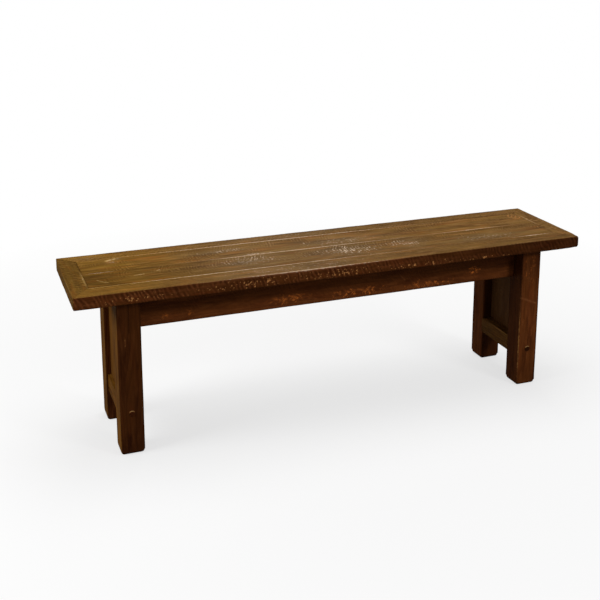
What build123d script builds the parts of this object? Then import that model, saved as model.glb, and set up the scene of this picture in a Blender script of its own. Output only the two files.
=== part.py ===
from build123d import *
import os
from math import atan2, cos, degrees, hypot, radians, sin

# Rustic backless bench: a seat of rough-sawn planks in a mitred border, on four square posts with
# two long aprons, and two ends closed by a board above a low rail. Lengths are in millimetres.
# X runs along the bench, Y from front to rear and Z up. The origin is on the floor in the middle.

# Whole bench
bench_length = 1524.0
bench_depth = 343.0
bench_height = 476.0

# Seat boards
seat_thickness = 35.0
front_border_width = 64.0
rear_border_width = 54.0
end_border_width = 50.0
seat_corner_radius = 7.0
seat_top_round = 2.5
seat_bottom_chamfer = 1.5
joint_ease = 1.0

# Tongues, grooves and loose splines that join the seat boards
tongue_thickness = 11.0
tongue_length = 10.0
spline_width = 24.0
spline_outer_stop = 16.0

# Gaps left beside and beyond every tongue, tenon and screw
side_gap = 0.2
end_gap = 1.0

# Legs
leg_width = 65.0
leg_end_inset = 113.0
leg_side_inset = 32.0
leg_edge_round = 2.5
foot_round = 9.0
foot_sections = 3

# Aprons, with bare-faced tenons into the legs
apron_thickness = 19.0
apron_height = 98.0
apron_edge_round = 2.0
apron_tenon_length = 30.0
apron_tenon_thickness = 9.5
apron_tenon_shoulder = 14.0

# End rails, with stub tenons into the legs
rail_height = 50.0
rail_rise = 94.0
rail_recess = 5.5
rail_edge_round = 2.5
stub_length = 12.0
stub_thickness = 26.0
stub_height = 30.0

# End panels, tongued into the legs and the rail
panel_thickness = 19.0
panel_recess = 15.5
panel_tongue_thickness = 9.0
panel_tongue_length = 8.0

# Seat bearers, tenoned into the aprons
bearer_count = 3
bearer_width = 64.0
bearer_thickness = 19.0
bearer_tenon_length = 9.0
bearer_tenon_thickness = 9.0

# Pan-head screws through the bearers, one into each plank
bearer_screw_end_inset = 30.0
bearer_screw_length = 40.0
bearer_screw_diameter = 4.5
bearer_screw_head_diameter = 9.0
bearer_screw_head_height = 3.0

# Loose tenons between the leg tops and the border boards
loose_tenon_thickness = 10.0
loose_tenon_width = 36.0
loose_tenon_length = 50.0
loose_tenon_seat_depth = 20.0
loose_tenon_inset = 12.0

# Lag screws under the plugs
plug_diameter = 17.0
plug_length = 14.0
plug_proud = 1.2
plug_round = 0.8
lag_diameter = 8.0
lag_length = 90.0
lag_head_flats = 13.0
lag_head_height = 5.5
washer_diameter = 16.0
washer_thickness = 1.6

# How far a cutting shape runs past the wood
overrun = 5.0

# Places worked out from the sizes above
half_length = bench_length / 2
half_depth = bench_depth / 2
seat_top = bench_height
seat_underside = seat_top - seat_thickness
seat_middle = seat_underside + seat_thickness / 2
field_end = half_length - end_border_width
field_front = front_border_width - half_depth
field_rear = half_depth - rear_border_width
plank_joint = (field_front + field_rear) / 2
groove_depth = tongue_length + end_gap
groove_half_height = tongue_thickness / 2 + side_gap
leg_outer = half_length - leg_end_inset
leg_inner = leg_outer - leg_width
leg_middle = leg_outer - leg_width / 2
leg_face = half_depth - leg_side_inset
leg_back = leg_face - leg_width
apron_face = leg_back + apron_thickness
apron_bottom = seat_underside - apron_height
rail_top = rail_rise + rail_height
rail_middle = rail_rise + rail_height / 2
rail_face = leg_outer - rail_recess
panel_face = leg_outer - panel_recess
panel_back = panel_face - panel_thickness
panel_middle = panel_face - panel_thickness / 2
plug_depth = plug_length - plug_proud
lag_head_seat = plug_depth + end_gap + lag_head_height + washer_thickness
bearer_pitch = 2 * leg_inner / (bearer_count + 1)
bearer_bottom = seat_underside - bearer_thickness

corner_names = {(-1, -1): "front_left", (1, -1): "front_right", (-1, 1): "rear_left", (1, 1): "rear_right"}


def block(x_range, y_range, z_range):
    """Return a box between a low and a high value on each axis."""
    ranges = (x_range, y_range, z_range)
    middle = [(low + high) / 2 for low, high in ranges]
    size = [high - low for low, high in ranges]
    return Pos(*middle) * Box(*size)


def turned(profile):
    """Return the solid of revolution about Z of an outline given as (radius, height) points."""
    outline = Polyline([(radius, 0, height) for radius, height in profile], close=True)
    return revolve(make_face(outline), Axis.Z)


def bore(diameter, bottom, top):
    """Return an upright cylinder on the Z axis between two heights."""
    return turned([(0, bottom), (diameter / 2, bottom), (diameter / 2, top), (0, top)])


def mirrored(shape, side_x, side_y):
    """Return a shape made for the rear right corner, moved to the corner with the given signs."""
    if side_x < 0:
        shape = mirror(shape, about=Plane.YZ)
    if side_y < 0:
        shape = mirror(shape, about=Plane.XZ)
    return shape


def seat_blank():
    """Return the outside of the whole seat, with rounded corners and a worn top edge."""
    outline = Pos(0, 0, seat_underside) * RectangleRounded(bench_length, bench_depth, seat_corner_radius)
    slab = extrude(outline, seat_thickness)
    slab = fillet(slab.faces().sort_by(Axis.Z)[-1].edges(), seat_top_round)
    return chamfer(slab.faces().sort_by(Axis.Z)[0].edges(), seat_bottom_chamfer)


def seat_board(blank, corners):
    """Return the piece of the seat inside an outline, with its top edges eased at the joints."""
    outline = Pos(0, 0, seat_underside) * make_face(Polyline(corners, close=True))
    board = extrude(outline, seat_thickness)
    board = chamfer(board.faces().sort_by(Axis.Z)[-1].edges(), joint_ease)
    return blank & board


def border_boards(blank):
    """Return the four mitred border boards, grooved on their inner edges for the planks."""
    outer = [(-half_length, -half_depth), (half_length, -half_depth),
             (half_length, half_depth), (-half_length, half_depth)]
    inner = [(-field_end, field_front), (field_end, field_front),
             (field_end, field_rear), (-field_end, field_rear)]
    groove = block((-field_end - groove_depth, field_end + groove_depth),
                   (field_front - groove_depth, field_rear + groove_depth),
                   (seat_middle - groove_half_height, seat_middle + groove_half_height))
    boards = {}
    for index, name in enumerate(("front", "right", "rear", "left")):
        after = (index + 1) % len(outer)
        corners = [outer[index], outer[after], inner[after], inner[index]]
        boards["seat_border_" + name] = seat_board(blank, corners) - groove
    return boards


def tongue(x_range, y_range):
    """Return a tongue at the middle of the seat's thickness."""
    half = tongue_thickness / 2
    return block(x_range, y_range, (seat_middle - half, seat_middle + half))


def planks(blank):
    """Return the two planks, tongued into the border and grooved for the spline between them."""
    joint_groove = block((-half_length, half_length),
                         (plank_joint - groove_depth, plank_joint + groove_depth),
                         (seat_middle - groove_half_height, seat_middle + groove_half_height))
    boards = {}
    for name, border, side in (("front", field_front, -1), ("rear", field_rear, 1)):
        low, high = sorted((border, plank_joint))
        edge = sorted((border, border + side * tongue_length))
        board = seat_board(blank, [(-field_end, low), (field_end, low), (field_end, high), (-field_end, high)])
        board += tongue((-field_end - tongue_length, field_end + tongue_length), (low, high))
        board += tongue((-field_end, field_end), edge)
        boards["seat_plank_" + name] = board - joint_groove
    return boards


def plank_spline():
    """Return the loose tongue that lines up the two planks."""
    return tongue((-field_end, field_end), (plank_joint - tongue_length, plank_joint + tongue_length))


def mitre_spline(side_x, side_y, gap_beside, gap_beyond):
    """Return the loose tongue across one mitre, or with gaps the slot that holds it."""
    inner = (side_x * field_end, field_rear if side_y > 0 else field_front)
    outer = (side_x * half_length, side_y * half_depth)
    run = (outer[0] - inner[0], outer[1] - inner[1])
    mitre_length = hypot(*run)
    start = 2 * tongue_length
    stop = mitre_length - spline_outer_stop
    share = (start + stop) / 2 / mitre_length
    middle = Pos(inner[0] + share * run[0], inner[1] + share * run[1], seat_middle)
    key = Box(stop - start + 2 * gap_beyond, spline_width + 2 * gap_beyond, tongue_thickness + 2 * gap_beside)
    return middle * Rot(0, 0, degrees(atan2(run[1], run[0]))) * key


def leg_post():
    """Return a plain square post with eased edges and a foot rounded all round."""
    sections = [Pos(0, 0, seat_underside) * RectangleRounded(leg_width, leg_width, leg_edge_round)]
    for index in range(foot_sections):
        angle = radians(90 * (1 - index / (foot_sections - 1)))
        width = leg_width - 2 * foot_round * (1 - sin(angle))
        height = foot_round * (1 - cos(angle))
        sections.append(Pos(0, 0, height) * RectangleRounded(width, width, leg_edge_round))
    return Pos(leg_middle, leg_back + leg_width / 2, 0) * loft(sections, ruled=True)


def apron_tenon(gap_beside, gap_beyond):
    """Return the tenon at the right end of the rear apron, or with gaps its mortise."""
    return block((leg_inner - gap_beyond, leg_inner + apron_tenon_length + gap_beyond),
                 (apron_face - apron_tenon_thickness - gap_beside, apron_face + gap_beside),
                 (apron_bottom + apron_tenon_shoulder - gap_beside,
                  seat_underside - apron_tenon_shoulder + gap_beside))


def stub_tenon(gap_beside, gap_beyond):
    """Return the stub at the rear end of the right end rail, or with gaps its mortise."""
    return block((leg_middle - stub_thickness / 2 - gap_beside, leg_middle + stub_thickness / 2 + gap_beside),
                 (leg_back - gap_beyond, leg_back + stub_length + gap_beyond),
                 (rail_middle - stub_height / 2 - gap_beside, rail_middle + stub_height / 2 + gap_beside))


def panel_tongue(gap_beside, gap_beyond):
    """Return the tongue round the sides and bottom of the right end panel, or with gaps its groove."""
    reach = panel_tongue_length + gap_beyond
    half = panel_tongue_thickness / 2 + gap_beside
    return block((panel_middle - half, panel_middle + half),
                 (-leg_back - reach, leg_back + reach),
                 (rail_top - gap_beside, seat_underside + gap_beyond)) + block(
                 (panel_middle - half, panel_middle + half),
                 (-leg_back - gap_beyond, leg_back + gap_beyond),
                 (rail_top - reach, rail_top))


def lag_place():
    """Return the lag screw's place: its axis runs in through the rear face of the right rear leg."""
    return Pos(leg_middle, leg_face, rail_middle) * Rot(90, 0, 0)


def lag_holes():
    """Return the plug's counterbore and the lag screw's bore, through the leg and into the rail."""
    counterbore = bore(plug_diameter + 2 * side_gap, -overrun, lag_head_seat)
    shank_bore = bore(lag_diameter + 2 * side_gap, 0, lag_head_seat + lag_length + end_gap)
    return lag_place() * (counterbore + shank_bore)


def loose_tenon(gap_beside, gap_beyond):
    """Return the loose tenon in the top of the right rear leg, or with gaps its mortises."""
    middle = leg_face - loose_tenon_inset
    half_width = loose_tenon_width / 2 + gap_beside
    half_thickness = loose_tenon_thickness / 2 + gap_beside
    top = seat_underside + loose_tenon_seat_depth
    return block((leg_middle - half_width, leg_middle + half_width),
                 (middle - half_thickness, middle + half_thickness),
                 (top - loose_tenon_length - gap_beyond, top + gap_beyond))


def leg():
    """Return the right rear leg with its mortises, panel groove and counterbore."""
    groove = panel_tongue(side_gap, end_gap) & block(
        (leg_inner, leg_outer), (0, leg_face), (rail_top, seat_underside + overrun))
    cuts = [apron_tenon(side_gap, end_gap), stub_tenon(side_gap, end_gap), groove,
            lag_holes(), loose_tenon(side_gap, end_gap)]
    return leg_post() - cuts


def bearer_places():
    """Return the middle of each seat bearer along the bench."""
    return [bearer_pitch * (index + 1) - leg_inner for index in range(bearer_count)]


def bearer_tenons(x, gap_beside, gap_beyond):
    """Return both tenons of a bearer as one bar through it, or with gaps their mortises."""
    half = bearer_width / 2 + gap_beside
    reach = leg_back + bearer_tenon_length + gap_beyond
    return block((x - half, x + half), (-reach, reach),
                 (bearer_bottom - gap_beside, bearer_bottom + bearer_tenon_thickness + gap_beside))


def bearer(x):
    """Return a flat cross board under the planks, tenoned into both aprons."""
    board = block((x - bearer_width / 2, x + bearer_width / 2), (-leg_back, leg_back),
                  (bearer_bottom, seat_underside))
    return board + bearer_tenons(x, 0, 0)


def bearer_screw_places():
    """Return two screws for each bearer, with their heads against its underside."""
    reach = leg_back - bearer_screw_end_inset
    return [Pos(x, side * reach, bearer_bottom) for x in bearer_places() for side in (-1, 1)]


def bearer_screw():
    """Return a pan-head screw that points up, with the underside of its head at zero."""
    radius = bearer_screw_diameter / 2
    head_radius = bearer_screw_head_diameter / 2
    return turned([(0, -bearer_screw_head_height), (head_radius, -bearer_screw_head_height), (head_radius, 0),
                   (radius, 0), (radius, bearer_screw_length), (0, bearer_screw_length)])


def bearer_screw_hole():
    """Return the hole of a bearer screw, through the bearer and into a plank."""
    return bore(bearer_screw_diameter + 2 * side_gap, 0, bearer_screw_length + end_gap)


def apron():
    """Return the rear apron, tenoned at both ends and mortised for the bearers."""
    board = block((-leg_inner, leg_inner), (leg_back, apron_face), (apron_bottom, seat_underside))
    bottom_edges = board.edges().filter_by(Axis.X).group_by(Axis.Z)[0]
    board = fillet(bottom_edges, apron_edge_round)
    right_tenon = apron_tenon(0, 0)
    board += [right_tenon, mirror(right_tenon, about=Plane.YZ)]
    return board - [bearer_tenons(x, side_gap, end_gap) for x in bearer_places()]


def end_rail():
    """Return the right end rail, with stubs for the legs and a groove for the panel."""
    rail = block((leg_inner, rail_face), (-leg_back, leg_back), (rail_rise, rail_top))
    rail = fillet(rail.edges().filter_by(Axis.Y), rail_edge_round)
    rear_stub = stub_tenon(0, 0)
    rail += [rear_stub, mirror(rear_stub, about=Plane.XZ)]
    rail -= panel_tongue(side_gap, end_gap)
    return rail - [lag_holes(), mirror(lag_holes(), about=Plane.XZ)]


def end_panel():
    """Return the right end panel, tongued on its sides and bottom."""
    board = block((panel_back, panel_face), (-leg_back, leg_back), (rail_top, seat_underside))
    return board + panel_tongue(0, 0)


def plug():
    """Return the round wooden plug over the lag screw, with its face standing a little proud."""
    radius = plug_diameter / 2
    face = -plug_proud
    profile = [(0, face), (radius - plug_round, face), (radius, face + plug_round),
               (radius, plug_depth), (0, plug_depth)]
    return lag_place() * turned(profile)


def washer():
    """Return the washer at the bottom of the counterbore."""
    low = lag_head_seat - washer_thickness
    inner = lag_diameter / 2 + side_gap
    outer = washer_diameter / 2
    ring = turned([(inner, low), (outer, low), (outer, lag_head_seat), (inner, lag_head_seat)])
    return lag_place() * ring


def lag_screw():
    """Return the hexagon-headed lag screw that draws the leg against the rail."""
    seat = lag_head_seat - washer_thickness
    head_outline = RegularPolygon(lag_head_flats / 2, 6, major_radius=False)
    head = extrude(Pos(0, 0, seat - lag_head_height) * head_outline, lag_head_height)
    shank = bore(lag_diameter, seat, seat + lag_length)
    return lag_place() * (head + shank)


def seat_holes():
    """Return every hole and mortise that is cut up into the seat from below."""
    screw_holes = [place * bearer_screw_hole() for place in bearer_screw_places()]
    return screw_holes + [mirrored(loose_tenon(side_gap, end_gap), *signs) for signs in corner_names]


def seat_nodes():
    """Return the seat's boards and the loose splines between them."""
    blank = seat_blank()
    boards = {**border_boards(blank), **planks(blank)}
    slots = [mitre_spline(*signs, side_gap, end_gap) for signs in corner_names]
    cuts = slots + seat_holes()
    nodes = {name: board - cuts for name, board in boards.items()}
    nodes["plank_spline"] = plank_spline() - seat_holes()
    nodes["mitre_splines"] = [mitre_spline(*signs, 0, 0) for signs in corner_names]
    return nodes


def frame_nodes():
    """Return the legs, aprons, end rails and end panels."""
    nodes = {"leg_" + name: mirrored(leg(), *signs) for signs, name in corner_names.items()}
    for name, side in (("front", -1), ("rear", 1)):
        nodes["apron_" + name] = mirrored(apron(), 1, side)
    for name, side in (("left", -1), ("right", 1)):
        nodes["end_rail_" + name] = mirrored(end_rail(), side, 1)
        nodes["end_panel_" + name] = mirrored(end_panel(), side, 1)
    return nodes


def bearer_nodes():
    """Return the seat bearers, drilled for their screws."""
    holes = [place * bearer_screw_hole() for place in bearer_screw_places()]
    names = ("left", "middle", "right")
    return {"seat_bearer_" + name: bearer(x) - holes for name, x in zip(names, bearer_places())}


def fastener_nodes():
    """Return each kind of fastener as one node of separate solids."""
    return {
        "bearer_screws": [place * bearer_screw() for place in bearer_screw_places()],
        "leg_top_tenons": [mirrored(loose_tenon(0, 0), *signs) for signs in corner_names],
        "leg_plugs": [mirrored(plug(), *signs) for signs in corner_names],
        "rail_lag_washers": [mirrored(washer(), *signs) for signs in corner_names],
        "rail_lag_screws": [mirrored(lag_screw(), *signs) for signs in corner_names],
    }


os.makedirs("parts", exist_ok=True)
for node_name, shape in {**seat_nodes(), **frame_nodes(), **bearer_nodes(), **fastener_nodes()}.items():
    solids = shape if isinstance(shape, list) else [shape]
    export_step(Compound(children=[Part(solid.wrapped) for solid in solids]), "parts/" + node_name + ".step")
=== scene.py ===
import math

import bpy
import numpy as np
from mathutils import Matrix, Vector


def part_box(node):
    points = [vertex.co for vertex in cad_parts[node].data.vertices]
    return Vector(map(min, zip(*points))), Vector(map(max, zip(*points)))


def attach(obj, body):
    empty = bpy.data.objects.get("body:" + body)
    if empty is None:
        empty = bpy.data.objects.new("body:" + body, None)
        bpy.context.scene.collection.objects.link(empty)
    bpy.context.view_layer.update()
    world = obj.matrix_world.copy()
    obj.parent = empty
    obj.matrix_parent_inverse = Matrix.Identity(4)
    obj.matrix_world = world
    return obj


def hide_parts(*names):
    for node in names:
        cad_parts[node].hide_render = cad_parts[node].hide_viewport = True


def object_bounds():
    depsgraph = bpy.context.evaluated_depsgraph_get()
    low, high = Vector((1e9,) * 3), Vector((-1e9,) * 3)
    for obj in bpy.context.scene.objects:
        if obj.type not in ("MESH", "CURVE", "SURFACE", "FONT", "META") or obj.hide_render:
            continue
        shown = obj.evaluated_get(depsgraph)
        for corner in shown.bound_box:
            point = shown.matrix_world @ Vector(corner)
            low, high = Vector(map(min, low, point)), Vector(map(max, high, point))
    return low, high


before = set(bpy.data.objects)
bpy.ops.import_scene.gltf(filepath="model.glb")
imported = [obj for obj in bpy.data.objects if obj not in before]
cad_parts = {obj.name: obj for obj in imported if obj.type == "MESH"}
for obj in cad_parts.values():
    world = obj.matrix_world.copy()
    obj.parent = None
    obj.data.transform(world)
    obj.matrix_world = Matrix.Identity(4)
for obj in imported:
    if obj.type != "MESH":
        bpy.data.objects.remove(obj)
cad_low, cad_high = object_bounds()

# Legs: four square posts of sawn pine, 65 mm thick, mortised for the aprons and the end rails. Their
# arrises are worn, and their feet are rounded all round so that they don't splinter. The sides that
# face the bench's ends are painted lighter than the fronts, a painted light, and the inner sides
# darker and redder, a painted shade.
mm = 0.001
X, Y, Z = 0, 1, 2
mesh_pitch = 3 * mm
apart_in_log = np.array([1.7, 0.9, 0.4])
held_within = 0.1 * mm


def edge_samples(low, high, reach, pitch):
    """Return places along one side: close together inside the round at each end, even between."""
    near = [reach * (1 - math.tan(math.radians(angle))) for angle in (45, 30, 15)]
    count = max(2, round((high - low - 2 * reach) / pitch) + 1)
    middle = np.linspace(low + reach, high - reach, count)
    return np.concatenate([low + np.array(near), middle, high - np.array(near[::-1])])


def grid_shell(low, high, reach, pitch):
    """Return the points and four-sided faces of a closed box whose sides carry a fine grid. The grid's
    pitch is one value, or one for each axis."""
    pitches = np.broadcast_to(pitch, 3)
    places = [edge_samples(low[axis], high[axis], reach, pitches[axis]) for axis in (X, Y, Z)]
    grid = np.stack(np.meshgrid(*places, indexing="ij"), axis=-1)
    outside = np.ones(grid.shape[:3], bool)
    outside[1:-1, 1:-1, 1:-1] = False
    number = np.full(grid.shape[:3], -1)
    number[outside] = np.arange(outside.sum())
    faces = []
    for axis in (X, Y, Z):
        for end in (0, -1):
            side = np.take(number, end, axis=axis)
            corners = [side[:-1, :-1], side[1:, :-1], side[1:, 1:], side[:-1, 1:]]
            quads = np.stack(corners, axis=-1).reshape(-1, 4)
            outward = (end == -1) != (axis == Y)
            faces.append(quads if outward else quads[:, ::-1])
    return grid[outside], np.concatenate(faces)


def rounded(points, low, high, radius, reach):
    """Return the box's points with its edges rounded, and how far each lies from the nearest edge."""
    middle = (low + high) / 2
    half = (high - low) / 2
    radius = radius[:, None]
    inward = half - np.abs(points - middle)
    scaled = radius + (inward - reach) * (half - radius) / (half - reach)
    inward = np.where(inward < reach, inward * radius / reach, scaled)
    core = half - radius
    beyond = np.maximum(half - inward - core, 0)
    length = np.maximum(np.linalg.norm(beyond, axis=1, keepdims=True), radius)
    offset = np.minimum(half - inward, core) + beyond * radius / length
    return middle + np.sign(points - middle) * offset, np.sort(inward, axis=1)[:, 1]


def slow_wave(places, pitch, seed, low, high):
    """Return a smooth random value between two limits at each place along a line."""
    stations = np.arange(places.min() - pitch, places.max() + 3 * pitch, pitch)
    values = np.random.default_rng(seed).uniform(low, high, len(stations))
    return np.interp(places, stations, values)


def new_object(name, data):
    """Put a mesh, a lamp or a camera into the scene as an object, and return the object."""
    made = bpy.data.objects.new(name, data)
    bpy.context.scene.collection.objects.link(made)
    return made


def paint(mesh, name, values):
    """Store one value or one vector for each point of a mesh, for its relief and its finish to read."""
    values = np.asarray(values, np.float32)
    kind, field = ("FLOAT", "value") if values.ndim == 1 else ("FLOAT_VECTOR", "vector")
    attribute = mesh.attributes.get(name) or mesh.attributes.new(name, kind, "POINT")
    attribute.data.foreach_set(field, values.ravel())


def timber(name, low, high, along, across, pitch, radius_at, reach, number, butted=(), eased=(),
           edge_reach=3.5 * mm):
    """Make one piece of wood, cut from its own part of the log, as a mesh that knows its grain's
    direction and its worn edges. Its faces in a joint, given as an axis and an end, keep their exact
    place: a butted face is sharp all round, an eased one has its arrises taken off."""
    low, high = np.array(low), np.array(high)
    points, faces = grid_shell(low, high, reach, pitch)
    held = np.zeros(len(points), bool)
    for axis, end in [*butted, *eased]:
        held |= np.abs(points[:, axis] - (high if end > 0 else low)[axis]) < held_within
    run_on = 8 * reach
    round_low, round_high = low.copy(), high.copy()
    for axis, end in butted:
        (round_high if end > 0 else round_low)[axis] += end * run_on
    points, from_edge = rounded(points, round_low, round_high, radius_at(points), reach)
    mesh = bpy.data.meshes.new(name)
    mesh.from_pydata(points.tolist(), [], faces.tolist())
    mesh.shade_smooth()
    paint(mesh, "grain", points[:, [along, across, 3 - along - across]] + apart_in_log * number)
    paint(mesh, "edge", np.exp(-(from_edge / edge_reach) ** 2))
    paint(mesh, "held", held)
    piece = new_object(name, mesh)
    piece["along"], piece["across"] = along, across
    return piece


def points_of(piece):
    """Return a piece's points as rows of x, y and z."""
    places = np.zeros(3 * len(piece.data.vertices))
    piece.data.vertices.foreach_get("co", places)
    return places.reshape(-1, 3)


def spots(points, ovals, axes):
    """Return how near each point is to the nearest of some ovals, each given in mm by its middle and
    its reach on two axes: 1 in the middle, 0 outside."""
    near = np.zeros(len(points))
    for oval in np.array(ovals) * mm:
        far = np.hypot(*((points[:, axes] - oval[:2]) / oval[2:]).T)
        near = np.maximum(near, np.exp(-far ** 2))
    return near


def strokes(points, lines, axes):
    """Return how near each point is to the nearest of some straight lines, each given in mm by its two
    ends and its half width: 1 on the line, 0 away from it."""
    near = np.zeros(len(points))
    for line in np.array(lines) * mm:
        start, run, half_width = line[:2], line[2:4] - line[:2], line[4]
        flat = points[:, axes] - start
        share = np.clip(flat @ run / (run @ run), 0, 1)
        far = np.linalg.norm(flat - share[:, None] * run, axis=1) / half_width
        near = np.maximum(near, np.exp(-far ** 2))
    return near


def feed(node, inputs):
    """Set or link a node's inputs."""
    for name, value in inputs.items():
        if isinstance(value, bpy.types.NodeSocket):
            node.id_data.links.new(value, node.inputs[name])
        else:
            node.inputs[name].default_value = value


def add(tree, kind, inputs=None, output=0, **settings):
    """Add a node with its settings and inputs, and return one of its outputs. The kind of a shader
    node is given without the word ShaderNode."""
    node = tree.nodes.new(kind if "Node" in kind else "ShaderNode" + kind)
    for name, value in settings.items():
        setattr(node, name, value)
    feed(node, inputs or {})
    return node.outputs[output]


def started_tree(name, inputs):
    """Start a tree that works on a geometry, with its other inputs by name and kind."""
    tree = bpy.data.node_groups.new(name, "GeometryNodeTree")
    tree.interface.new_socket("Geometry", in_out="OUTPUT", socket_type="NodeSocketGeometry")
    for socket, kind in {"Geometry": "Geometry", **inputs}.items():
        tree.interface.new_socket(socket, in_out="INPUT", socket_type="NodeSocket" + kind)
    return tree, tree.nodes.new("NodeGroupInput").outputs


def ended_tree(tree, geometry, finish):
    """End a tree: make its copies real, give them their finish and send them out."""
    geometry = add(tree, "GeometryNodeRealizeInstances", {"Geometry": geometry})
    geometry = add(tree, "GeometryNodeSetMaterial", {"Geometry": geometry, "Material": finish})
    tree.links.new(geometry, tree.nodes.new("NodeGroupOutput").inputs[0])
    return tree


usual_relief = {"wave_depth": 0.7 * mm, "wave_size": 60 * mm, "kerf_depth": 0.25 * mm, "kerf_pitch": 9 * mm,
                "kerf_slant": 0.2, "arc_radius": 170 * mm, "arc_centre": 0.0, "patch_size": 90 * mm,
                "patch_share": 0.25, "chip_depth": 0.0, "chip_size": 8 * mm}
stroke_length = 15 * mm
wander_length = 60 * mm
wander_kerfs = 3.8
largest_chip = 0.6
ragged_size = 4 * mm
ragged_rim = 0.15


def relief_tree():
    """Build the tree that cuts saw marks, chips and slow waves into a piece, always inwards."""
    sizes = dict.fromkeys([*usual_relief, "seed"], "Float")
    ways = dict.fromkeys(("along", "across", "up"), "Vector")
    tree, given = started_tree("sawn_relief", {**ways, **sizes, "finish": "Material"})
    place = add(tree, "GeometryNodeInputPosition")
    normal = add(tree, "GeometryNodeInputNormal")
    knocked, held = [add(tree, "GeometryNodeInputNamedAttribute", {"Name": name}, data_type="FLOAT")
                     for name in ("knocked", "held")]
    run, side, rise, facing = [
        add(tree, "VectorMath", {0: what, 1: given[way]}, 1, operation="DOT_PRODUCT")
        for what, way in ((place, "along"), (place, "across"), (place, "up"), (normal, "up"))]
    facing = add(tree, "Math", {0: facing}, operation="ABSOLUTE")
    facing = add(tree, "MapRange", {"Value": facing, "From Min": 0.5, "From Max": 0.9})
    per_patch, per_chip, per_wave = [add(tree, "Math", {0: 1.0, 1: given[size]}, operation="DIVIDE")
                                     for size in ("patch_size", "chip_size", "wave_size")]
    noises = ((1 / wander_length, 2.0, 0.65), (per_patch, 2.0, 0.5), (per_wave, 1.0, 0.5))
    wander, patch, wave = [
        add(tree, "TexNoise", {"Vector": place, "W": given["seed"], "Scale": scale, "Detail": detail,
                               "Roughness": roughness}, noise_dimensions="4D")
        for scale, detail, roughness in noises]

    # A circular saw leaves arcs of its own radius on the wide faces, one for each feed of the board,
    # and straight slanting kerfs on the narrow ones.
    from_centre = add(tree, "Math", {0: side, 1: given["arc_centre"]}, operation="SUBTRACT")
    bow, square = [add(tree, "Math", {0: value, 1: value}, operation="MULTIPLY")
                   for value in (given["arc_radius"], from_centre)]
    for operation, other in (("SUBTRACT", square), ("MAXIMUM", 0.0), ("SQRT", 0.0)):
        bow = add(tree, "Math", {0: bow, 1: other}, operation=operation)
    lean = add(tree, "Math", {0: rise, 1: given["kerf_slant"]}, operation="MULTIPLY")
    shift = add(tree, "Mix", {"Factor": facing, "A": lean, "B": bow})
    for factor in (wander_kerfs, given["kerf_pitch"]):
        wander = add(tree, "Math", {0: wander, 1: factor}, operation="MULTIPLY")
    phase = run
    for operation, other in (("ADD", shift), ("ADD", wander), ("DIVIDE", given["kerf_pitch"])):
        phase = add(tree, "Math", {0: phase, 1: other}, operation=operation)
    turn = add(tree, "Math", {0: phase, 1: math.tau}, operation="MULTIPLY")
    ridge = add(tree, "Math", {0: turn}, operation="COSINE")
    ridge = add(tree, "MapRange", {"Value": ridge, "From Min": -0.6})

    # The marks come in patches, and short strokes across them bite unevenly.
    bar = add(tree, "Math", {0: 0.75, 1: given["patch_share"]}, operation="SUBTRACT")
    patch = add(tree, "Math", {0: patch, 1: bar}, operation="SUBTRACT")
    patch = add(tree, "MapRange", {"Value": patch, "From Max": 0.15})
    bite = add(tree, "Math", {0: phase, 1: 0.8}, operation="MULTIPLY")
    bite_side, bite_rise = [add(tree, "Math", {0: value, 1: stroke_length}, operation="DIVIDE")
                            for value in (side, rise)]
    bite = add(tree, "CombineXYZ", {"X": bite, "Y": bite_side, "Z": bite_rise})
    bite = add(tree, "TexNoise", {"Vector": bite, "W": given["seed"], "Scale": 1.0, "Detail": 1.0},
               noise_dimensions="4D")
    bite = add(tree, "MapRange", {"Value": bite, "From Min": 0.42, "From Max": 0.6, "To Min": 0.06})
    patch = add(tree, "Math", {0: patch, 1: bite}, operation="MULTIPLY")
    valley = add(tree, "Math", {0: 1.0, 1: ridge}, operation="SUBTRACT")
    ridge, valley = [add(tree, "Math", {0: mark, 1: patch}, operation="MULTIPLY")
                     for mark in (ridge, valley)]
    cut = add(tree, "Math", {0: valley, 1: given["kerf_depth"]}, operation="MULTIPLY")

    # Small chips broke out where the edge is knocked most, each with its own size and ragged rim, and
    # the whole face waves a little.
    cell = add(tree, "TexVoronoi", {"Vector": place, "Scale": per_chip}).node
    reach = add(tree, "SeparateXYZ", {"Vector": cell.outputs["Color"]})
    reach = add(tree, "MapRange", {"Value": reach, "To Max": largest_chip})
    ragged = add(tree, "TexNoise", {"Vector": place, "Scale": 1 / ragged_size, "Detail": 0.0})
    ragged = add(tree, "MapRange", {"Value": ragged, "From Min": 0.3, "From Max": 0.7,
                                    "To Min": -ragged_rim, "To Max": ragged_rim})
    chip = add(tree, "Math", {0: reach, 1: knocked}, operation="MULTIPLY")
    chip = add(tree, "Math", {0: chip, 1: cell.outputs["Distance"]}, operation="SUBTRACT")
    chip = add(tree, "Math", {0: chip, 1: ragged}, operation="ADD")
    chip = add(tree, "MapRange", {"Value": chip, "From Max": 0.12})
    chip = add(tree, "Math", {0: chip, 1: knocked}, operation="MULTIPLY")
    for mark, depth in ((chip, "chip_depth"), (wave, "wave_depth")):
        cut = add(tree, "Math", {0: mark, 1: given[depth], 2: cut}, operation="MULTIPLY_ADD")
    inwards = add(tree, "Math", {0: held, 1: 1.0}, operation="SUBTRACT")
    cut = add(tree, "Math", {0: cut, 1: inwards}, operation="MULTIPLY")
    offset = add(tree, "VectorMath", {0: normal, "Scale": cut}, operation="SCALE")
    wood = given["Geometry"]
    for name, value in (("ridge", ridge), ("valley", valley), ("chip", chip)):
        wood = add(tree, "GeometryNodeStoreNamedAttribute", {"Geometry": wood, "Name": name, "Value": value},
                   data_type="FLOAT", domain="POINT")
    wood = add(tree, "GeometryNodeSetPosition", {"Geometry": wood, "Offset": offset})
    return ended_tree(tree, wood, given["finish"])


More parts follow.
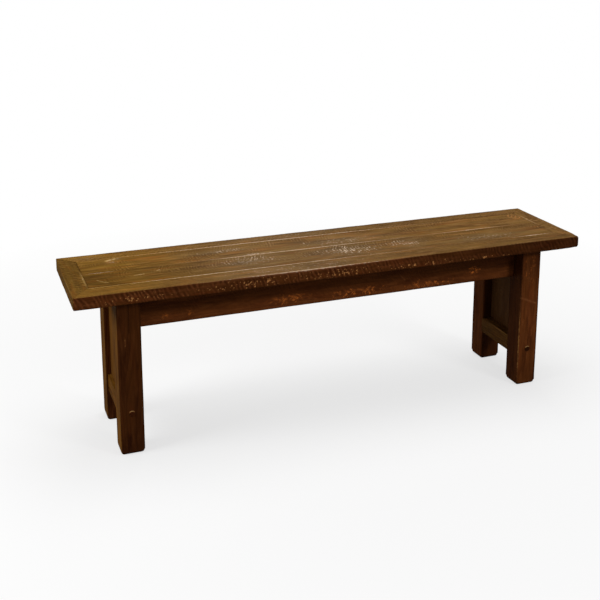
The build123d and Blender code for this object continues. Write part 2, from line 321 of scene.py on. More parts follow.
def grown(piece, tree, **values):
    """Run a tree on a piece with the values of its named inputs, and keep the result as a plain mesh."""
    modifier = piece.modifiers.new(tree.name, "NODES")
    modifier.node_group = tree
    for socket in tree.interface.items_tree:
        if socket.name in values:
            modifier[socket.identifier] = values[socket.name]
    evaluated = piece.evaluated_get(bpy.context.evaluated_depsgraph_get())
    mesh = bpy.data.meshes.new_from_object(evaluated)
    piece.modifiers.remove(modifier)
    piece.data = mesh
    return piece


relief = relief_tree()
unit = np.eye(3).tolist()
face_depth = 3 * mm
seat_grime = 0.45
score_polish = 0.45
arris_highlight_and_wear = 0.7
yellowed_from = -250 * mm
yellowed_run = 350 * mm


def sawn(piece, finish, seed, tone, knots=(), rubbed=(), knocked=(), bright=(), scores=(), checks=(),
         top=False, wear=1.0, **values):
    """Cut the relief of sawn and worn wood into a piece, with its own values over the usual ones. Its
    marks lie on its long face, or on its top where that shows most: ovals for knots, for rubbed places,
    which also carry a painted sheen, and for bright arrises, which are worn and carry a painted
    highlight, and lines for pale scores and dark drying checks. Knocked places are ovals on the long
    face. Wear scales the rubbed places, and the tone is one value, or a rule that gives it."""
    along, across = piece["along"], piece["across"]
    mesh = piece.data
    points = points_of(piece)
    plan = (X, Y) if top else (X, Z)
    paint(mesh, "knot", spots(points, knots, plan))
    above = points[:, Z] > points[:, Z].min() + face_depth
    paint(mesh, "rubbed", wear * spots(points, rubbed, plan) * (above if top else 1))
    paint(mesh, "knocked", spots(points, knocked, (X, Z)))
    edge = np.zeros(len(points))
    mesh.attributes["edge"].data.foreach_get("value", edge)
    middle = (points[:, Z].min() + points[:, Z].max()) / 2
    seen = points[:, Z] > middle if top else points[:, Y] < points[:, Y].min() + face_depth
    highlight_and_wear = spots(points, bright, plan) * seen
    dirt = edge * (1 - highlight_and_wear) * (seat_grime if top else 1)
    paint(mesh, "grime", np.maximum(dirt, strokes(points, checks, plan) * seen))
    scored = score_polish * strokes(points, scores, plan) * seen
    paint(mesh, "polished", np.maximum(arris_highlight_and_wear * edge * highlight_and_wear, scored))
    paint(mesh, "tone", tone(points) if callable(tone) else np.full(len(points), tone))
    paint(mesh, "yellowed", np.clip((yellowed_from - points[:, X]) / yellowed_run, 0, 1))
    return grown(piece, relief, along=unit[along], across=unit[across], up=unit[3 - along - across],
                 finish=finish, seed=float(seed), **{**usual_relief, **values})


def finished(piece, node):
    """Hide the CAD node that a finished piece stands for, and make the piece ride on the bench."""
    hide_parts(node)
    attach(piece, "root")


def linear(code):
    """Return an sRGB hex colour as linear red, green, blue and alpha."""
    parts = [int(code[start:start + 2], 16) / 255 for start in (1, 3, 5)]
    return [part / 12.92 if part <= 0.04045 else ((part + 0.055) / 1.055) ** 2.4 for part in parts] + [1.0]


def new_finish(name):
    """Start a material, and return it with its tree and its surface node."""
    material = bpy.data.materials.new(name)
    material.use_nodes = True
    return material, material.node_tree, material.node_tree.nodes["Principled BSDF"]


def stained_pine(name, deep, middle, light, warm, worn="#b07a40", chipped="#dd7a34", shaded_face_tint="#ffffff",
                 roughness=0.5, wax=0.03, line_pitch=6 * mm, knot_ring="#a8713c", arris="#9c6e3c"):
    """Build a dark oil stain on sawn pine: mottled where the wood drank more, dark in the late wood
    and in the saw's kerfs, pale where hands and seats rubbed it off the ridges and arrises. It also
    paints light: a pale highlight on marked arrises, a grey sheen on rubbed places, and a darker,
    redder shade on the front and rear faces and on sides marked as shaded."""
    material, tree, surface = new_finish(name)
    marks = {mark: add(tree, "Attribute", attribute_name=mark, output="Fac")
             for mark in "ridge valley chip knot rubbed grime polished tone heart yellowed".split()}
    grain = add(tree, "Attribute", attribute_name="grain", output="Vector")

    # Stain blots are as long as a hand, with streaks of 70 by 10 mm in them. Fibres 2 mm wide show as
    # fine lines: the real ones are finer, too fine to show in a picture.
    blots = {"cloud": (160 * mm, 32 * mm, 3.0), "blush": (110 * mm, 18 * mm, 2.0),
             "streak": (70 * mm, 10 * mm, 3.0), "fibre": (40 * mm, 2.2 * mm, 3.0),
             "figure": (520 * mm, 50 * mm, 1.0), "fleck": (8 * mm, 6 * mm, 2.0)}
    noise = {}
    for blot, (length, width, detail) in blots.items():
        place = add(tree, "Mapping", {"Vector": grain, "Scale": (1 / length, 1 / width, 1 / width)})
        noise[blot] = add(tree, "TexNoise", {"Vector": place, "Scale": 1.0, "Detail": detail,
                                             "Roughness": 0.57})

    # Late wood lies in long contour lines, which close into ovals round a knot. A knot has a dark core
    # in rings that took less stain.
    uneven = add(tree, "MapRange", {"Value": noise["fleck"], "From Min": 0.3, "From Max": 0.7,
                                    "To Min": 0.6, "To Max": 1.3})
    knot = add(tree, "Math", {0: marks["knot"], 1: uneven}, operation="MULTIPLY")
    contour = add(tree, "Math", {0: knot, 1: 0.35, 2: noise["figure"]}, operation="MULTIPLY_ADD")
    contour = add(tree, "Math", {0: contour, 1: 450 * mm / line_pitch}, operation="MULTIPLY")
    ragged = add(tree, "Math", {0: noise["fleck"], 1: 5.0}, operation="MULTIPLY")
    ring = add(tree, "Math", {0: marks["knot"], 1: 20.0, 2: ragged}, operation="MULTIPLY_ADD")
    late_wood, ring = [add(tree, "Math", {0: turn}, operation="SINE") for turn in (contour, ring)]
    inside = add(tree, "MapRange", {"Value": knot, "From Min": 0.2, "From Max": 0.45})
    ring = add(tree, "Math", {0: ring, 1: inside}, operation="MULTIPLY")

    # Each layer of the stain shows where its mark lies between two values, up to its most: the saw's
    # ridges took little stain, and its kerfs and the joints hold dark stain and dirt. The last layer
    # paints the polished arrises pale, worn and with a painted highlight.
    layers = [(noise["cloud"], 0.30, 0.60, 1.0, middle), (noise["blush"], 0.52, 0.70, 0.5, warm),
              (noise["streak"], 0.50, 0.74, 0.6, light), (noise["streak"], 0.46, 0.30, 0.2, deep),
              (noise["fibre"], 0.5, 0.8, 0.4, light), (late_wood, 0.1, 1.0, 0.32, deep),
              (knot, 0.7, 0.9, 0.5, deep), (ring, 0.1, 0.9, 0.55, knot_ring),
              (marks["ridge"], 0.0, 1.0, 0.7, light), (marks["valley"], 0.0, 1.0, 0.6, deep),
              (marks["grime"], 0.0, 1.0, 0.6, "#452c12"), (marks["polished"], 0.05, 0.5, 0.8, arris)]
    colour = linear(deep)
    for mark, low, high, most, shade in layers:
        share = add(tree, "MapRange", {"Value": mark, "From Min": low, "From Max": high, "To Max": most})
        colour = add(tree, "Mix", {"Factor": share, "A": colour, "B": linear(shade)}, 2, data_type="RGBA")

    # The front and rear faces, and sides marked as shaded, are tinted darker and redder: painted
    # shade. The rest has yellowed towards the bench's left end, and where it is rubbed it takes a grey
    # wash, worn finish with a painted sheen.
    normal = add(tree, "NewGeometry", output="Normal")
    front = add(tree, "VectorMath", {0: normal, 1: (0.0, 1.0, 0.0)}, 1, operation="DOT_PRODUCT")
    front = add(tree, "Math", {0: front}, operation="ABSOLUTE")
    front = add(tree, "MapRange", {"Value": front, "From Min": 0.35, "From Max": 0.85})
    heart = add(tree, "Math", {0: front, 1: marks["heart"]}, operation="MAXIMUM")
    untinted_sides = add(tree, "Math", {0: 1.0, 1: heart}, operation="SUBTRACT")
    yellowed, grey_sheen = [add(tree, "Math", {0: untinted_sides, 1: marks[mark]}, operation="MULTIPLY")
                        for mark in ("yellowed", "rubbed")]
    grey_sheen = add(tree, "Math", {0: grey_sheen, 1: 0.2}, operation="MULTIPLY")
    for share, shade, blend in ((heart, shaded_face_tint, "MULTIPLY"), (yellowed, "#fffbc8", "MULTIPLY"),
                                (grey_sheen, "#796b53", "MIX")):
        colour = add(tree, "Mix", {"Factor": share, "A": colour, "B": linear(shade)}, 2,
                     data_type="RGBA", blend_type=blend)
    colour = add(tree, "VectorMath", {0: colour, "Scale": marks["tone"]}, operation="SCALE")

    # The stain is rubbed through in flecks of about 8 mm, first on the arrises and the saw's ridges.
    # The chips show fresh wood, and so does what is rubbed on the front and rear faces.
    wear = add(tree, "Math", {0: marks["ridge"], 1: 0.5, 2: 0.3}, operation="MULTIPLY_ADD")
    wear = add(tree, "Math", {0: wear, 1: marks["rubbed"]}, operation="MULTIPLY")
    rubbed_wood = add(tree, "Mix", {"Factor": front, "A": linear(worn), "B": linear(chipped)}, 2,
                      data_type="RGBA")
    for mark, shade in ((wear, rubbed_wood), (marks["polished"], linear(worn)),
                        (marks["chip"], linear(chipped))):
        bare = add(tree, "Math", {0: noise["fleck"], 1: mark}, operation="ADD")
        bare = add(tree, "MapRange", {"Value": bare, "From Min": 0.82, "From Max": 1.15, "To Max": 0.85})
        colour = add(tree, "Mix", {"Factor": bare, "A": colour, "B": shade}, 2, data_type="RGBA")

    dullness = add(tree, "MapRange", {"Value": noise["cloud"], "From Min": 0.3, "From Max": 0.7,
                                      "To Min": roughness + 0.08, "To Max": roughness - 0.08})
    height = noise["fibre"]
    for part, share in ((late_wood, -0.4), (noise["streak"], 0.8)):
        height = add(tree, "Math", {0: part, 1: share, 2: height}, operation="MULTIPLY_ADD")
    bump = add(tree, "Bump", {"Height": height, "Distance": 0.5 * mm, "Strength": 0.7})
    feed(surface, {"Base Color": colour, "Roughness": dullness, "Normal": bump, "Specular IOR Level": 0.0,
                   "Coat Weight": wax, "Coat Roughness": 0.32})
    return material


frame_stain = stained_pine("dark_stained_pine_frame", deep="#553216", middle="#7e5424", light="#9c6e36",
                           warm="#97602b", shaded_face_tint="#e1bcc6")
foot_radius = 9 * mm
saw_centre_beyond = 105 * mm
leg_arris = 2.5 * mm
leg_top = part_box("leg_front_left")[1].z
# The right front leg's bright places are pale arrises: worn, with a painted highlight.
leg_marks = {
    "leg_front_left": dict(scores=[(-628, 312, -628, 332, 1.3)], checks=[(-617, 350, -617, 430, 3)]),
    "leg_front_right": dict(knots=[(597, 209, 4, 5)], rubbed=[(615, 370, 40, 80)],
                            bright=[(584, 150, 6, 150), (649, 350, 5, 60)],
                            scores=[(574, 294, 640, 265, 3)])}


def leg_radius(points):
    """Return the rounding at each point of a leg: large at the foot, small and uneven above it."""
    height = points[:, Z]
    arris = leg_arris * slow_wave(height, 45 * mm, 3, 0.7, 1.3)
    share = np.clip(2 - height / foot_radius, 0, 1)
    return arris + (foot_radius - arris) * share


def leg_tone_and_light(outer_tone, face_tones, inner_tone):
    """Return a leg's tone rule: its outer and its inner side have a tone each, and its front and rear
    change from the foot to the top."""
    def rule(points):
        out = np.abs(points[:, X])
        faces = np.interp(points[:, Z], np.linspace(0, leg_top, 3), face_tones)
        faces = np.where(out > out.max() - leg_arris, outer_tone, faces)
        return np.where(out < out.min() + leg_arris, inner_tone, faces)
    return rule


# The outer sides' tones are painted lighter than the fronts, a painted light, and the right front leg's
# inner side darker, a painted shade under the seat.
leg_tones_and_light = {"leg_front_left": leg_tone_and_light(0.93, (0.54, 0.57, 0.62), 0.7),
             "leg_front_right": leg_tone_and_light(0.9, (0.84, 1.26, 0.68), 0.57),
             "leg_rear_left": leg_tone_and_light(0.8, (0.7, 0.7, 0.7), 0.8),
             "leg_rear_right": leg_tone_and_light(0.8, (0.5, 0.5, 0.45), 1.25)}
for number, (name, tone) in enumerate(leg_tones_and_light.items()):
    low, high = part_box(name)
    leg = timber(name + "_post", low, high, Z, X, mesh_pitch, leg_radius, foot_radius, number,
                 butted=[(Z, 1)])
    # The legs' inner sides take the darker, redder tint of painted shade.
    paint(leg.data, "heart", np.abs(points_of(leg)[:, X]) < min(abs(low.x), abs(high.x)) + leg_arris)
    leg = sawn(leg, frame_stain, number, tone, arc_centre=low.x + saw_centre_beyond, patch_share=0.1,
               **leg_marks.get(name, {}))
    finished(leg, name)

# End rails: a heavy rail low between the two legs of each end, stub-tenoned and drawn up tight by a
# lag screw from each leg. It carries the end panel in a groove along its top.
rail_arris = 2.5 * mm
into_joint = 3 * mm


def between(node, axis, first, last):
    """Return a node's box, cut along one axis to run just into the two pieces that hold it."""
    low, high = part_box(node)
    low[axis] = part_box(first)[1][axis] - into_joint
    high[axis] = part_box(last)[0][axis] + into_joint
    return low, high


def board(node, low, high, along, across, arris, wave_seed, number, pitch=mesh_pitch, **joints):
    """Make a board whose arrises have about one size, worn a little unevenly along X and Y."""
    def arris_at(points):
        return arris * slow_wave(points[:, X] + points[:, Y], 60 * mm, wave_seed, 0.7, 1.3)
    return timber(node + "_board", low, high, along, across, pitch, arris_at, 2 * arris, number, **joints)


for number, side in enumerate(("left", "right"), 4):
    name = "end_rail_" + side
    low, high = between(name, Y, "leg_front_" + side, "leg_rear_" + side)
    rail = board(name, low, high, Y, Z, rail_arris, number - 4, number, butted=[(Y, -1), (Y, 1)])
    inner_arris = min(low.x, high.x, key=abs) / mm
    # Its inner top arris is painted pale: worn, with a painted highlight.
    rail = sawn(rail, frame_stain, number, 0.85, bright=[(inner_arris, -20, 4, 50)], top=True)
    finished(rail, name)

# End panels: one upright board closes each end between the legs, from the rail up to the seat. Its
# tongues run in grooves in the legs and the rail, so that it can shrink without opening a gap. Its
# stain is the frame's, a little calmer.
panel_stain = stained_pine("dark_stained_pine_panels", deep="#5c3a20", middle="#6f4a2a", light="#7e5733",
                           warm="#724929")
panel_arris = 1.2 * mm
for number, side in enumerate(("left", "right"), 6):
    name = "end_panel_" + side
    low, high = between(name, Y, "leg_front_" + side, "leg_rear_" + side)
    low.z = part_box("end_rail_" + side)[1].z - into_joint
    panel = board(name, low, high, Z, Y, panel_arris, 7, number,
                  butted=[(Y, -1), (Y, 1), (Z, -1), (Z, 1)])
    finished(sawn(panel, panel_stain, number, 1.1, wave_depth=0.4 * mm), name)

# Aprons: a long board on edge under the front and the rear of the seat, tenoned into the legs and
# set back from their faces. Its lower edge is worn pale in patches, and the front one has a knot
# right of its middle.
apron_arris = 2 * mm
saw_centre_above = 50 * mm
apron_marks = {
    "front": dict(knots=[(200, 388, 8, 9)], scores=[(195, 396, 212, 378, 2)],
                  rubbed=[(-510, 366, 18, 12), (-440, 366, 14, 12), (-150, 366, 90, 20),
                          (60, 362, 120, 16), (280, 358, 90, 16), (446, 380, 30, 18)],
                  knocked=[(-515, 362, 45, 12), (-132, 362, 45, 14), (60, 356, 150, 12),
                           (310, 358, 120, 12), (446, 376, 26, 16)]),
    "rear": dict(knots=[(-318, 402, 9, 7)], rubbed=[(260, 368, 60, 12)])}


def apron_tone_and_seat_shadow(points):
    """Return the apron's tone: pale along the lower edge and dark above that, a painted shadow of the
    seat on its upper half, and darker towards both ends."""
    low, high = points[:, Z].min(), points[:, Z].max()
    rise = (points[:, Z] - low) / (high - low)
    rise_tone = np.interp(rise, (0, 0.2, 0.45, 0.65, 1), (1.6, 1.3, 0.65, 0.9, 0.95))
    return rise_tone * np.interp(points[:, X], (-550 * mm, 0, 500 * mm), (0.88, 1.0, 0.8))


for number, side in enumerate(("front", "rear"), 8):
    name = "apron_" + side
    low, high = between(name, X, "leg_" + side + "_left", "leg_" + side + "_right")
    apron = board(name, low, high, X, Z, apron_arris, 3 + number, number,
                  butted=[(X, -1), (X, 1), (Z, 1)])
    apron = sawn(apron, frame_stain, number, apron_tone_and_seat_shadow, arc_centre=high.z + saw_centre_above,
                 patch_share=0.5, kerf_pitch=7 * mm, chip_depth=0.5 * mm, chip_size=9 * mm,
                 **apron_marks[side])
    finished(apron, name)

# Seat bearers: three flat boards across the frame under the planks, tenoned into the aprons. They
# are rough from the saw and were stained only with what ran down from above, so they look patchy.
bearer_stain = stained_pine("thin_stained_rough_pine", deep="#553517", middle="#83602f", light="#9a7740",
                            warm="#956331", worn="#b4935c", chipped="#c9a468")
bearer_arris = 1 * mm
bearer_pitch = 4 * mm
for number, side in enumerate(("left", "middle", "right"), 10):
    name = "seat_bearer_" + side
    low, high = between(name, Y, "apron_front", "apron_rear")
    bearer = board(name, low, high, Y, X, bearer_arris, 13, number, bearer_pitch,
                   butted=[(Y, -1), (Y, 1), (Z, 1)])
    bearer = sawn(bearer, bearer_stain, number, 0.9, kerf_depth=0.5 * mm, patch_share=0.5)
    finished(bearer, name)

# Seat planks: two thick rough-sawn planks side by side, tongued into the border round them. A large
# circular saw left nested arcs on them, and the stain is rubbed pale on the ridges. The rear one has
# knots near its ends, and the front one drank more stain near its left end.
seat_stain = stained_pine("olive_brown_stained_pine_seat", deep="#4d3319", middle="#735428", light="#946f43",
                          warm="#935c2b", worn="#cdb498", chipped="#e29c5c", shaded_face_tint="#ebb8b0",
                          roughness=0.45, wax=0.022, line_pitch=14 * mm, knot_ring="#c4864a",
                          arris="#bd9a70")
seat_gap = 0.2 * mm
plank_pitches = (2.1 * mm, 2 * mm, 6 * mm)
joint_arris = 1.6 * mm
plank_low_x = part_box("seat_border_left")[1].x + seat_gap
plank_high_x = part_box("seat_border_right")[0].x - seat_gap
front_joint_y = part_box("seat_border_front")[1].y
joint_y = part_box("seat_plank_front")[1].y
rear_joint_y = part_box("seat_border_rear")[0].y
plank_sides = {"front": (front_joint_y, joint_y), "rear": (joint_y, rear_joint_y)}
# The rubbed places in the seat's middle are worn and carry a painted sheen, and the bright places along the
# joints are worn arrises with a painted highlight.
plank_marks = {
    "front": dict(rubbed=[(-250, -45, 130, 60), (40, -50, 150, 60), (235, -45, 70, 50), (500, -75, 150, 35)],
                  bright=[(-280, joint_y / mm, 60, 3), (-670, joint_y / mm, 45, 4)],
                  scores=[(-580, -50, -553, -47, 2), (-514, -31, -507, -28, 2.5),
                          (-682, -55, -668, -73, 1.6), (-668, -73, -656, -84, 1.4)],
                  arc_centre=-45 * mm, arc_radius=100 * mm),
    "rear": dict(knots=[(692, 86, 23, 30), (-624, 92, 12, 13), (-601, 84, 9, 10)],
                 rubbed=[(-190, 12, 160, 10), (-622, 85, 16, 14), (-600, 108, 16, 11), (60, 40, 160, 40),
                         (-300, 70, 120, 20)],
                 bright=[(-60, joint_y / mm, 330, 6), (480, joint_y / mm + 5, 160, 6)],
                 scores=[(-630, 98, -620, 104, 6), (-610, 104, -605, 110, 4.5)],
                 arc_centre=60 * mm, arc_radius=170 * mm)}


def along_x(places, tones):
    """Return a tone rule that changes along X between some places."""
    return lambda points: np.interp(points[:, X], places, tones)


plank_tones = {"front": along_x((plank_low_x, -400 * mm, plank_high_x), (0.76, 1.0, 1.03)), "rear": 1.1}
for number, side in enumerate(("front", "rear"), 13):
    name = "seat_plank_" + side
    low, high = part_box(name)
    low.x, high.x = plank_low_x, plank_high_x
    low.y, high.y = plank_sides[side][0] + seat_gap, plank_sides[side][1] - seat_gap
    plank = board(name, low, high, X, Y, joint_arris, 4 + number, number, plank_pitches,
                  eased=[(X, -1), (X, 1), (Y, -1), (Y, 1)])
    plank = sawn(plank, seat_stain, 4 + number, plank_tones[side], top=True, kerf_depth=0.35 * mm,
                 patch_share=0.3, **plank_marks[side])
    finished(plank, name)

# Seat border: four boards mitred round the planks like a picture frame. The front one is sawn and
# knocked about along its face, and its top arris is pale: polished by use, with a painted highlight.
# The rear one is darkest in its middle.
seat_round = 2.5 * mm
border_pitch = 2 * mm
seat_corner = 7 * mm
knocked_corner = 5 * mm
knocked_reach = 25 * mm
outer_band = 20 * mm
mitre_ease = 0.5 * mm
hair = 1e-6


def seat_radius(points):
    """Return the rounding of the border: larger outside than at the joints, and knocked round at the
    front right corner."""
    inward = np.minimum(cad_high.x - np.abs(points[:, X]), cad_high.y - np.abs(points[:, Y]))
    uneven = slow_wave(points[:, X] + points[:, Y], 40 * mm, 23, 0.75, 1.25)
    from_corner = np.hypot(cad_high.x - points[:, X], cad_low.y - points[:, Y])
    knocked_round = knocked_corner * np.exp(-(from_corner / knocked_reach) ** 2)
    return np.where(inward > outer_band, joint_arris, seat_round) * uneven + knocked_round


def mitred(points, along, across, outer, inner, cut_low, cut_high):
    """Slant both ends of a border board, from its full length outside to its short length inside, and
    take the sharp edge off the mitre above and below."""
    share = (points[:, across] - outer) / (inner - outer)
    low, high = points[:, along].min(), points[:, along].max()
    place = (points[:, along] - low) / (high - low)
    ends = (place < hair) | (place > 1 - hair)
    for level, inwards in ((points[:, Z].max(), -1), (points[:, Z].min(), 1)):
        at_level = ends & (np.abs(points[:, Z] - level) < 2 * mitre_ease)
        points[at_level, Z] = level + inwards * mitre_ease
    points[:, along] = low + cut_low * share + place * (high - low - (cut_low + cut_high) * share)
    return points


def corner_rounded(points):
    """Round the seat's four corners in plan, carrying the top round along with them."""
    core = np.array(cad_high)[:Z] - seat_corner
    beyond = np.abs(points[:, :Z]) - core
    corner = (beyond > 0).all(axis=1)
    length = np.linalg.norm(beyond[corner], axis=1, keepdims=True)
    reach = beyond[corner].max(axis=1, keepdims=True)
    points[corner, :Z] = np.sign(points[corner, :Z]) * (core + beyond[corner] * reach / length)
    return points


def front_border_tone(points):
    """Return the front border's tone: its face is darker towards the right end than its top."""
    face_places = (cad_low.x, -290 * mm, 0, 360 * mm, cad_high.x)
    face_tone = np.interp(points[:, X], face_places, (1.28, 0.85, 0.98, 0.67, 0.5))
    top_tone = np.interp(points[:, X], (cad_low.x, 0, cad_high.x), (1.15, 1.05, 0.94))
    return np.where(points[:, Y] < cad_low.y + seat_round, face_tone, top_tone)


def left_border_tone(points):
    """Return the left border's tone: its outer face took less stain than its top."""
    return np.where(points[:, X] < cad_low.x + seat_round, 0.84, 0.76)


borders = {"front": (X, Y, -1), "rear": (X, Y, 1), "left": (Y, X, -1), "right": (Y, X, 1)}
border_tones = {"front": front_border_tone, "rear": along_x((cad_low.x, 0, cad_high.x), (1.3, 0.9, 1.0)),
                "left": left_border_tone, "right": 1.2}
# The border's bright places are worn arrises with a painted highlight, and its rubbed places carry a painted
# sheen as well as wear.
border_marks = {
    "front": dict(rubbed=[(-150, -140, 280, 50), (-560, cad_low.y / mm - 3, 180, 5)],
                  bright=[(-120, cad_low.y / mm + 1.5, 240, 2.5), (-230, front_joint_y / mm, 480, 6),
                          (640, front_joint_y / mm - 4, 70, 6)],
                  knocked=[(-300, 456, 200, 20), (-20, 455, 240, 20), (-600, 455, 150, 13),
                           (230, 450, 160, 12), (420, 447, 160, 8)]),
    "rear": dict(rubbed=[(-60, 145, 200, 20), (-690, 140, 40, 14)],
                 bright=[(-130, rear_joint_y / mm, 460, 6)]),
    "left": dict(bright=[(cad_low.x / mm - 4, -60, 4, 110), (plank_low_x / mm - 7, -40, 6, 60)]),
    "right": dict(bright=[(plank_high_x / mm + 8, 40, 6, 60)])}
width_at = {}
for side, (along, across, end) in borders.items():
    low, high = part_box("seat_border_" + side)
    width_at[across, end] = high[across] - low[across]
for number, (side, (along, across, end)) in enumerate(borders.items(), 15):
    name = "seat_border_" + side
    low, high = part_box(name)
    outer, inner = (low[across], high[across]) if end < 0 else (high[across], low[across])
    border = timber(name + "_board", low, high, along, across, border_pitch, seat_radius, 2 * seat_round,
                    number, butted=[(along, -1), (along, 1)], eased=[(across, -end)], edge_reach=5 * mm)
    points = mitred(points_of(border), along, across, outer, inner, width_at[along, -1], width_at[along, 1])
    border.data.vertices.foreach_set("co", corner_rounded(points).ravel())
    border = sawn(border, seat_stain, 4 + number, border_tones[side], top=True, wear=0.6,
                  kerf_depth=0.45 * mm, kerf_slant=0.5, kerf_pitch=12 * mm, chip_depth=1.2 * mm,
                  chip_size=6 * mm, patch_share=0.6, **border_marks[side])
    finished(border, name)

# Splines and loose tenons: planed strips of bare pine, glued into slots across the mitres, between
# the planks and in the tops of the legs. They took no stain, because the joints hide them.
def two_toned(tree, pattern, first, second):
    """Return a colour that goes from one shade to another with a pattern."""
    share = add(tree, "MapRange", {"Value": pattern, "From Min": 0.35, "From Max": 0.65})
    return add(tree, "Mix", {"Factor": share, "A": linear(first), "B": linear(second)}, 2, data_type="RGBA")


def bare_pine(name, along):
    """Build clean planed pine, pale and matt, with its growth lines about 3 mm apart along one axis."""
    material, tree, surface = new_finish(name)
    place = add(tree, "TexCoord", output="Object")
    stretch = [1 / (250 * mm) if axis == along else 1 / (9 * mm) for axis in (X, Y, Z)]
    place = add(tree, "Mapping", {"Vector": place, "Scale": stretch})
    lines = add(tree, "TexNoise", {"Vector": place, "Scale": 3.0, "Detail": 3.0, "Roughness": 0.6})
    bump = add(tree, "Bump", {"Height": lines, "Distance": 0.1 * mm, "Strength": 0.5})
    feed(surface, {"Base Color": two_toned(tree, lines, "#c79a5e", "#e0bf8a"), "Normal": bump,
                   "Roughness": 0.6})
    return material


def refinished(node, finish):
    """Give a CAD node that keeps its shape its real finish."""
    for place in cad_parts[node].material_slots:
        place.material = finish


refinished("mitre_splines", bare_pine("planed_pine_splines", Z))
refinished("plank_spline", bare_pine("planed_pine_plank_spline", X))
refinished("leg_top_tenons", bare_pine("planed_pine_tenons", Z))

# Lag screws and washers: a hexagon-headed steel screw through each leg into the end of a rail, over
# a washer at the bottom of the counterbore. The zinc plating is dull and slightly cloudy.
zinc, tree, surface = new_finish("zinc_plated_steel")
place = add(tree, "TexCoord", output="Object")
cloud = add(tree, "TexNoise", {"Vector": place, "Scale": 1 / (4 * mm), "Detail": 3.0})
dullness = add(tree, "MapRange", {"Value": cloud, "From Min": 0.3, "From Max": 0.7, "To Min": 0.3,
                                  "To Max": 0.5})
feed(surface, {"Base Color": two_toned(tree, cloud, "#9a9ca0", "#c9cacc"), "Roughness": dullness,
               "Metallic": 1.0})
refinished("rail_lag_screws", zinc)
refinished("rail_lag_washers", zinc)

# Plugs: a wooden plug turned to 17 mm and glued over each lag screw. It stands a little proud, its
# end grain drank the stain nearly black, and its upper rim is painted pale: a painted highlight.
def lathed(name, profile, sides):
    """Turn a profile of radius and height, from its lower to its upper end, into a closed mesh."""
    angles = np.arange(sides) * math.tau / sides
    rings = [np.stack([radius * np.cos(angles), radius * np.sin(angles), np.full(sides, height)], axis=1)
             for radius, height in profile]
    points = np.concatenate([[[0, 0, profile[0][1]]], *rings, [[0, 0, profile[-1][1]]]])
    starts = [1 + sides * ring for ring in range(len(profile))]
    pairs = [(step, (step + 1) % sides) for step in range(sides)]
    faces = [[0, starts[0] + b, starts[0] + a] for a, b in pairs]
    for low, high in zip(starts[:-1], starts[1:]):
        faces += [[low + a, low + b, high + b, high + a] for a, b in pairs]
    faces += [[starts[-1] + a, starts[-1] + b, len(points) - 1] for a, b in pairs]
    mesh = bpy.data.meshes.new(name)
    mesh.from_pydata(points.tolist(), [], faces)
    mesh.shade_smooth()
    return new_object(name, mesh)


def placing_tree():
    """Build the tree that sets a pattern on each point, facing the point's own way with its own turn."""
    tree, given = started_tree("set_in_place", {"pattern": "Object", "most_turn": "Float", "seed": "Int",
                                                "finish": "Material"})
    facing = add(tree, "GeometryNodeInputNamedAttribute", {"Name": "facing"}, data_type="FLOAT_VECTOR")
    aim = add(tree, "FunctionNodeAlignRotationToVector", {"Vector": facing}, axis="Z")
    pattern = add(tree, "GeometryNodeObjectInfo", {"Object": given["pattern"]}, "Geometry")
    copies = add(tree, "GeometryNodeInstanceOnPoints", {"Points": given["Geometry"], "Instance": pattern,
                                                        "Rotation": aim})
    turn = add(tree, "FunctionNodeRandomValue", {"Max": given["most_turn"], "Seed": given["seed"]}, "Value",
               data_type="FLOAT")
    turn = add(tree, "CombineXYZ", {"Z": turn})
    copies = add(tree, "GeometryNodeRotateInstances", {"Instances": copies, "Rotation": turn})
    return ended_tree(tree, copies, given["finish"])


placing = placing_tree()


def repeated(name, pattern, places, finish, most_turn=0.0):
    """Set a pattern at each place, given as a point and the way it faces, as one piece."""
    points, facings = zip(*places)
    mesh = bpy.data.meshes.new(name)
    mesh.from_pydata(points, [], [])
    paint(mesh, "facing", facings)
    piece = grown(new_object(name, mesh), placing, pattern=pattern, most_turn=most_turn, seed=5,
                  finish=finish)
    bpy.data.objects.remove(pattern)
    return piece


plug_low, plug_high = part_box("leg_plugs")
plug_radius = (plug_high.z - plug_low.z) / 2
plug_x = plug_high.x - plug_radius
plug_z = (plug_low.z + plug_high.z) / 2
plug_length = 14 * mm
plug_round = 0.8 * mm
plug_sides = 40
plug_grain_fineness = 3
plug_profile = [(plug_radius, -plug_length)]
plug_profile += [(plug_radius - plug_round * (1 - math.cos(angle)), plug_round * (math.sin(angle) - 1))
                 for angle in (math.radians(step) for step in (0, 30, 60, 90))]
plug_profile += [(share * (plug_radius - plug_round), 0.0) for share in (0.85, 0.6, 0.3)]
plug_stain = stained_pine("dark_stained_end_grain_plugs", deep="#2b170b", middle="#432712", light="#5d3b1b",
                          warm="#5a3216", worn="#b8925e", chipped="#b8925e", shaded_face_tint="#e1bcb3")
plug_places = [((side * plug_x, end * plug_high.y, plug_z), (0, end, 0))
               for side in (-1, 1) for end in (-1, 1)]
plug_pattern = lathed("plug_pattern", plug_profile, plug_sides)
plugs = repeated("leg_plug_turnings", plug_pattern, plug_places, plug_stain)
points = points_of(plugs)
plug_rise = (points[:, Z] - plug_z) / plug_radius
plug_rim = np.hypot(np.abs(points[:, X]) - plug_x, points[:, Z] - plug_z) / plug_radius
plug_edge = np.interp(plug_rim, (0.7, 1), (0, 1))
plug_highlight = np.interp(plug_rise, (0.35, 0.75), (0, 1))
paint(plugs.data, "grain", points[:, [Y, X, Z]] * plug_grain_fineness)
paint(plugs.data, "grime", plug_edge * (1 - plug_highlight))
paint(plugs.data, "polished", plug_edge * plug_highlight)
# The plugs on the left legs are painted lighter: a painted light that offsets their shade.
paint(plugs.data, "tone", np.where(points[:, X] < 0, 1.7, 1.0))
finished(plugs, "leg_plugs")

